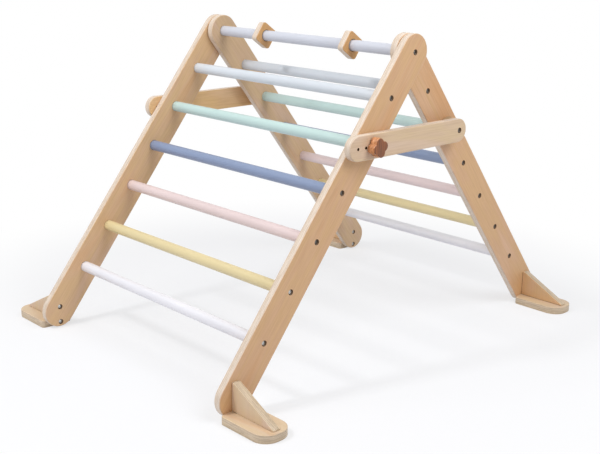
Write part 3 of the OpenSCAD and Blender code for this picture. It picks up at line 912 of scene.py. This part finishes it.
class TRIANGLE_OT_rungs(bpy.types.Operator):
    """Turns the lacquered dowels of both ladders and the top rung"""

    bl_idname = "triangle.rungs"
    bl_label = "Rungs"

    def execute(self, context):
        sizes, colours = context.scene.triangle_sizes, context.scene.triangle_colours
        finishes = {name: rung_lacquer(name + "_satin_lacquer", getattr(colours, name))
                    for name in ("top_rung",) + RUNG_COLOURS}
        top_rung = self.rung("top_rung", "rung_top", APEX, sizes.screw_diameter, sizes)
        finished(top_rung, "top_rung", finishes["top_rung"])
        bores = {"front_rung_2": sizes.insert_diameter, "rear_rung_2": sizes.pivot_diameter}
        for ladder in LADDERS:
            for k, colour in enumerate(RUNG_COLOURS, 1):
                node = f"{ladder}_rung_{k}"
                bore_diameter = bores.get(node, sizes.screw_diameter)
                rung = self.rung(node, f"rung_{ladder}_{k}", middle(node), bore_diameter, sizes)
                finished(rung, node, finishes[colour])
        return {"FINISHED"}

    def rung(self, node, name, centre, bore_diameter, sizes):
        """A dowel with chamfered ends and a bore in each, turned from its profile."""
        half = extent(node).x / 2
        r, bore_r, chamfer = RUNG_D / 2, bore_diameter / 2 + FIT, sizes.rung_chamfer
        bore_end = sizes.bore_depth - half
        profile = [(bore_end, 0), (bore_end, bore_r), (-half, bore_r), (-half, r - chamfer),
                   (chamfer - half, r)]
        profile += [(-along, radius) for along, radius in reversed(profile)]
        return turned(name, Vector((0, centre.y, centre.z)), profile)


class TRIANGLE_OT_ramp_stops(bpy.types.Operator):
    """Cuts the two square ramp stops on the top rung"""

    bl_idname = "triangle.ramp_stops"
    bl_label = "Ramp stops"

    def execute(self, context):
        sizes, colours = context.scene.triangle_sizes, context.scene.triangle_colours
        inner, outer = (corner.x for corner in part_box("ramp_stop_right"))
        wood = birch_plywood("ramp_stop_birch_plywood", Palette(colours, colours.stop_face),
                             (sizes.stop_grain, 0, 0), inner, outer - inner)
        # From the middle of the square, which stands nearly on a corner, to a corner's centre
        reach = (extent("ramp_stop_right").z / 2 - sizes.stop_corner) / math.cos(sizes.stop_turn)
        centre = APEX + Vector((inner, 0, 0))
        pen = None
        for k in range(4):
            angle = sizes.stop_turn + k * math.pi / 2
            corner = centre + reach * Vector((0, math.cos(angle), math.sin(angle)))
            angle -= math.pi / 4
            begin = corner + sizes.stop_corner * Vector((0, math.cos(angle), math.sin(angle)))
            if pen:
                pen.line_to(begin)
            else:
                pen = Pen("ramp_stop_plate_right", begin)
            pen.arc(corner, 90, steps=10)
        stop = pen.board((outer - inner, 0, 0))
        round_edges(on_face("X", inner, outer), sizes.small_round, 3)
        close()
        hole_r, chamfer = RUNG_D / 2 + FIT, sizes.stop_chamfer
        wide_r = hole_r + chamfer + PAST
        bore(stop, [drill([APEX], [
            (inner - PAST, 0), (inner - PAST, wide_r), (inner + chamfer, hole_r),
            (outer - chamfer, hole_r), (outer + PAST, wide_r), (outer + PAST, 0)])])
        pair(stop, "ramp_stop_", "stop_plywood", wood)
        return {"FINISHED"}


class TRIANGLE_OT_feet(bpy.types.Operator):
    """Cuts the four foot plates and their upright gussets"""

    bl_idname = "triangle.feet"
    bl_label = "Feet"

    def execute(self, context):
        sizes, colours = context.scene.triangle_sizes, context.scene.triangle_colours
        quarter = math.radians(90)
        plate_wood = birch_plywood(
            "foot_plate_birch_plywood", Palette(colours, colours.foot_face, foot=True),
            (0, quarter, 0), 0, PLY)
        # The rear gussets' warmer tone is painted bounce light in shade
        for ladder, face in zip(LADDERS, (colours.foot_face, colours.gusset_face)):
            gusset_wood = birch_plywood(
                ladder + "_gusset_birch_plywood", Palette(colours, face, foot=True),
                (0, 0, quarter), FOOT_Y - PLY / 2, PLY)
            plate, gusset = self.plate(ladder, sizes), self.gusset(ladder, sizes)
            pair(plate, ladder + "_foot_plate_", "foot_plywood", plate_wood)
            pair(gusset, ladder + "_foot_gusset_", "foot_plywood", gusset_wood)
        return {"FINISHED"}

    def plate(self, ladder, sizes):
        """The right-hand foot plate of a ladder, with a round toe and two round heel corners."""
        low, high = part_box(f"{ladder}_foot_plate_right")
        r, heel = sizes.plate_corner, sizes.heel_corner
        pen = Pen(f"foot_plate_{ladder}_right", (low.x + heel, low.y, low.z))
        pen.line_to((high.x - r, low.y, low.z))
        pen.arc((high.x - r, low.y + r, low.z), 90, "Z")
        pen.line_to((high.x, high.y - r, low.z))
        pen.arc((high.x - r, high.y - r, low.z), 90, "Z")
        pen.line_to((low.x + heel, high.y, low.z))
        pen.arc((low.x + heel, high.y - heel, low.z), 90, "Z", 6)
        pen.line_to((low.x, low.y + heel, low.z))
        pen.arc((low.x + heel, low.y + heel, low.z), 90, "Z", 6)
        plate = pen.board((0, 0, high.z - low.z))
        outline, at_rail = on_face("Z", low.z, high.z), on_face("X", low.x)
        round_edges(lambda edge: outline(edge) and not at_rail(edge), sizes.small_round, 3)
        close()
        return plate

    def gusset(self, ladder, sizes):
        """The right-hand gusset of a ladder's foot, a wedge with a flat top and a blunt toe."""
        low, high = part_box(f"{ladder}_foot_gusset_right")
        pen = Pen(f"foot_gusset_{ladder}_right", low)
        pen.line_to((high.x, low.y, low.z))
        pen.line_to((high.x, low.y, low.z + sizes.gusset_toe))
        pen.line_to((low.x + sizes.gusset_flat, low.y, high.z))
        pen.line_to((low.x, low.y, high.z))
        gusset = pen.board((0, high.y - low.y, 0))
        # Rounding the edges along the rail and the plate too leaves a fine groove at each joint
        round_edges(on_face("Y", low.y, high.y), sizes.gusset_round, 3)
        close()
        # Painted shade darkens those grooves in the drilled colour, more strongly at the rear
        glue = {"front": 0.25, "rear": 0.9}[ladder]
        mark = gusset.data.attributes.new("bored", "FLOAT", "FACE")
        for face in gusset.data.polygons:
            in_groove = min(face.center.x - low.x, face.center.z - low.z) < sizes.gusset_round
            mark.data[face.index].value = glue if in_groove else 0
        return gusset


class TRIANGLE_OT_braces(bpy.types.Operator):
    """Cuts the two level braces and the round spacers behind their pivots"""

    bl_idname = "triangle.braces"
    bl_label = "Braces"

    def execute(self, context):
        sizes, colours = context.scene.triangle_sizes, context.scene.triangle_colours
        inner, outer = (corner.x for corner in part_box("brace_right"))
        brace_woods = [
            birch_plywood(f"brace_{side}_birch_plywood", Palette(colours, face),
                          (math.radians(90), 0, 0), inner, outer - inner)
            for side, face in ((RIGHT, colours.brace_face), (LEFT, colours.left_brace_face))]
        pair(self.bar(inner, outer, sizes), "brace_", "brace_plywood", *brace_woods)
        inner, outer = (corner.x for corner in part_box("brace_spacer_right"))
        palette = Palette(colours, colours.stop_face)
        # Painted shade: the spacer's plies take one darker tone
        palette.ply_pale = palette.ply_dark = colours.spacer_shaded_edge
        spacer_wood = birch_plywood("spacer_birch_plywood", palette, (0, 0, 0), inner,
                                    outer - inner)
        spacer = self.spacer(inner, outer, sizes)
        pair(spacer, "brace_spacer_", "spacer_plywood", spacer_wood)
        return {"FINISHED"}

    def bar(self, inner, outer, sizes):
        """The right-hand brace, a bar with round ends."""
        low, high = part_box("brace_right")
        half = (high.z - low.z) / 2
        level = (high.z + low.z) / 2
        front = Vector((inner, low.y + half, level))
        back = Vector((inner, high.y - half, level))
        rim = Vector((0, 0, half))
        pen = Pen("brace_bar_right", front + rim)
        pen.arc(front, 180)
        pen.line_to(back - rim)
        pen.arc(back, 180)
        bar = pen.board((outer - inner, 0, 0))
        round_edges(on_face("X", inner, outer), sizes.board_round)
        close()
        holes = [KNOB_AXIS - Vector((0, k * sizes.hole_pitch, 0)) for k in range(3)]
        bore(bar, [
            plain_hole(holes, inner - PAST, outer + PAST, sizes.hole_diameter),
            screw_hole([PIVOT], outer, 1, sizes.pivot_diameter, sizes)])
        return bar

    def spacer(self, inner, outer, sizes):
        """The right-hand spacer, turned with rounded rims and a hole for the pivot screw."""
        radius, hole_r = extent("brace_spacer_right").z / 2, sizes.pivot_diameter / 2 + FIT
        r = sizes.small_round

        def place(along, out):
            return Vector((along, PIVOT.y, PIVOT.z + out))
        pen = Pen("spacer_disc_right", place(inner, hole_r))
        pen.line_to(place(inner, radius - r))
        pen.arc(place(inner + r, radius - r), 90, "Y", 3)
        pen.line_to(place(outer - r, radius))
        pen.arc(place(outer - r, radius - r), 90, "Y", 3)
        pen.line_to(place(outer, hole_r))
        pen.line_to(place(inner, hole_r))
        return pen.lathe(PIVOT, 64)


class TRIANGLE_OT_knobs(bpy.types.Operator):
    """Shapes the two hand knobs, with round lobes and a hollow between each two"""

    bl_idname = "triangle.knobs"
    bl_label = "Knobs"

    def execute(self, context):
        sizes, colours = context.scene.triangle_sizes, context.scene.triangle_colours
        back, front = (corner.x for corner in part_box("knob_right"))
        wood = oiled_walnut("knob_oiled_walnut", colours, front)
        pair(self.lobed(back, front, sizes), "knob_", "knob_wood", wood)
        return {"FINISHED"}

    def lobed(self, back, front, sizes):
        """The right-hand knob, with its bore for the stud."""
        lobe_r, hollow_r = sizes.knob_lobe, sizes.knob_hollow
        lobe_at = sizes.knob_radius - lobe_r
        step = math.pi / 4
        offset = lobe_at * math.sin(step)
        hollow_at = lobe_at * math.cos(step) + math.sqrt((lobe_r + hollow_r) ** 2 - offset ** 2)
        centre = Vector((back, KNOB_AXIS.y, KNOB_AXIS.z))

        def polar(distance, angle):
            return centre + distance * Vector((0, math.cos(angle), math.sin(angle)))
        # Half the angle that a lobe's arc takes, up to where it touches the hollow
        reach = polar(hollow_at, step) - polar(lobe_at, 0)
        half = math.atan2(reach.z, reach.y)

        first = sizes.knob_turn
        start = Vector((0, math.cos(first - half), math.sin(first - half)))
        pen = Pen("hand_knob_right", polar(lobe_at, first) + lobe_r * start)
        for k in range(4):
            angle = first + 2 * k * step
            pen.arc(polar(lobe_at, angle), math.degrees(2 * half), steps=18)
            pen.arc(polar(hollow_at, angle + step), -math.degrees(2 * (half - step)), steps=6)
        knob = pen.board((front - back, 0, 0))
        round_edges(on_face("X", back, front), sizes.knob_round)
        close()
        bore(knob, [plain_hole([KNOB_AXIS], back - PAST, back + sizes.stud_depth,
                               sizes.stud_diameter + 2 * FIT)])
        return knob


class TRIANGLE_OT_screws(bpy.types.Operator):
    """Turns the countersunk screws of the rungs, feet and brace pivots"""

    bl_idname = "triangle.screws"
    bl_label = "Screws"

    def execute(self, context):
        sizes, colours = context.scene.triangle_sizes, context.scene.triangle_colours
        # Painted reflection: the screws of the feet, and of rungs 5 and 6 at the front, are
        # painted bright
        bright_below = {"front": middle("front_rung_5").z + RUNG_PITCH / 2,
                        "rear": 2 * sizes.screw_high}
        rung_steel = {
            ladder: zinc_plated_steel(ladder + "_screw_zinc_plated_steel", colours.steel,
                                      colours.bright_steel, level)
            for ladder, level in bright_below.items()}
        steel = rung_steel["rear"]
        shank = sizes.screw_diameter / 2
        for ladder in LADDERS:
            first, _, *others = rung_spots(ladder)
            self.both_sides(ladder + "_rung_screws_", [first, *others], 1, shank, sizes,
                            rung_steel[ladder])
            self.both_sides(ladder + "_foot_screws_", foot_screw_spots(ladder, sizes), -1, shank,
                            sizes, steel)
        self.both_sides("brace_pivot_screw_", [PIVOT], 1, sizes.pivot_diameter / 2, sizes, steel)
        # The apex screws of both sides are one CAD node
        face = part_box("apex_screws")[1].x
        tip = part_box("front_rung_1")[1].x - sizes.screw_grip
        right = self.screws("apex_screw_pair", [APEX], face, tip, 1, shank, sizes)
        mirrored(right, "apex_screw_left")
        right.select_set(True)
        bpy.context.view_layer.objects.active = right
        bpy.ops.object.join()
        finished(right, "apex_screws", steel)
        return {"FINISHED"}

    def both_sides(self, node, spots, sign, shank, sizes, steel):
        """The screws of one CAD node on the right, and their mirror image on the left."""
        low, high = (corner.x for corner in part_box(node + RIGHT))
        face, tip = (high, low) if sign > 0 else (low, high)
        screws = self.screws(node + "modelled_right", spots, face, tip, sign, shank, sizes)
        pair(screws, node, "zinc_steel", steel)

    def screws(self, name, spots, face, tip, sign, shank, sizes):
        """Screws with heads at a face, hexagon sockets and pointed tips.

        Known fault: the rim's arc turns the wrong way, where sign * 90 would round the rim. So a
        head is hollow round its socket, crosses itself and reaches a little into the wood.
        """
        r, rim = sizes.head_diameter / 2, sizes.head_round
        top = face - sign * sizes.head_sink
        centre = Vector((0, spots[0].y, spots[0].z))

        def place(along, out):
            return centre + Vector((along, 0, out))
        pen = Pen(name, place(tip, 0))
        pen.line_to(place(tip + sign * sizes.screw_point, shank))
        pen.line_to(place(top - sign * (rim + r - shank), shank))
        pen.line_to(place(top - sign * rim, r))
        pen.arc(place(top - sign * rim, r - rim), sign * -90, "Y", 5)
        pen.line_to(place(top, 0))
        piece = pen.lathe(centre, 32)
        half, outside = sizes.key_socket / 2, top + sign * PAST
        wall_end = top - sign * sizes.key_depth
        # Six steps round the axis make the socket a hexagon
        bore(piece, [turned("socket", centre, [
            (outside, 0), (outside, half), (wall_end, half), (wall_end - sign * sizes.key_pit, 0),
        ], 6)])
        repeat(piece, spots)
        return piece


class TRIANGLE_OT_fastenings(bpy.types.Operator):
    """Finishes the screws, studs, washers and inserts of the frame in metal and nylon"""

    bl_idname = "triangle.fastenings"
    bl_label = "Fastenings"

    def execute(self, context):
        sizes, colours = context.scene.triangle_sizes, context.scene.triangle_colours
        steel = zinc_plated_steel("zinc_plated_steel", colours.steel, colours.bright_steel,
                                  2 * sizes.screw_high)
        brass = machined_brass("machined_brass", colours.brass)
        nylon = moulded_nylon("moulded_nylon", colours.nylon)
        for name, node in frame["nodes"].items():
            if name.startswith("knob_insert"):
                finish = brass
            elif name.startswith("hinge_washer"):
                finish = nylon
            elif "screw" in name or name.startswith(("knob_stud", "knob_washer")):
                finish = steel
            else:
                continue
            node.data.materials.clear()
            node.data.materials.append(finish)
        return {"FINISHED"}


class TRIANGLE_PT_pieces(bpy.types.Panel):
    """Sizes, colours and pieces of the climbing triangle"""

    bl_idname = "TRIANGLE_PT_pieces"
    bl_label = "Climbing Triangle"
    bl_space_type = "VIEW_3D"
    bl_region_type = "UI"
    bl_category = "Climbing Triangle"

    def draw(self, context):
        layout = self.layout
        for group in (context.scene.triangle_sizes, context.scene.triangle_colours):
            box = layout.box()
            for name in group.__annotations__:
                box.prop(group, name)
        for operator in OPERATORS:
            layout.operator(operator.bl_idname)


OPERATORS = (
    TRIANGLE_OT_stage,
    TRIANGLE_OT_rails,
    TRIANGLE_OT_rungs,
    TRIANGLE_OT_ramp_stops,
    TRIANGLE_OT_feet,
    TRIANGLE_OT_braces,
    TRIANGLE_OT_knobs,
    TRIANGLE_OT_screws,
    TRIANGLE_OT_fastenings,
)
CLASSES = (TriangleSizes, TriangleColours, *OPERATORS, TRIANGLE_PT_pieces)


def register():
    """Adds the classes and the scene's two property groups."""
    for cls in CLASSES:
        bpy.utils.register_class(cls)
    bpy.types.Scene.triangle_sizes = bpy.props.PointerProperty(type=TriangleSizes)
    bpy.types.Scene.triangle_colours = bpy.props.PointerProperty(type=TriangleColours)


def unregister():
    """Takes them away again."""
    del bpy.types.Scene.triangle_colours
    del bpy.types.Scene.triangle_sizes
    for cls in reversed(CLASSES):
        bpy.utils.unregister_class(cls)


def main():
    """Makes the scene."""
    register()
    bpy.ops.triangle.stage()
    bpy.ops.triangle.rails()
    bpy.ops.triangle.rungs()
    bpy.ops.triangle.ramp_stops()
    bpy.ops.triangle.feet()
    bpy.ops.triangle.braces()
    bpy.ops.triangle.knobs()
    bpy.ops.triangle.screws()
    bpy.ops.triangle.fastenings()


if __name__ == "__main__":
    main()
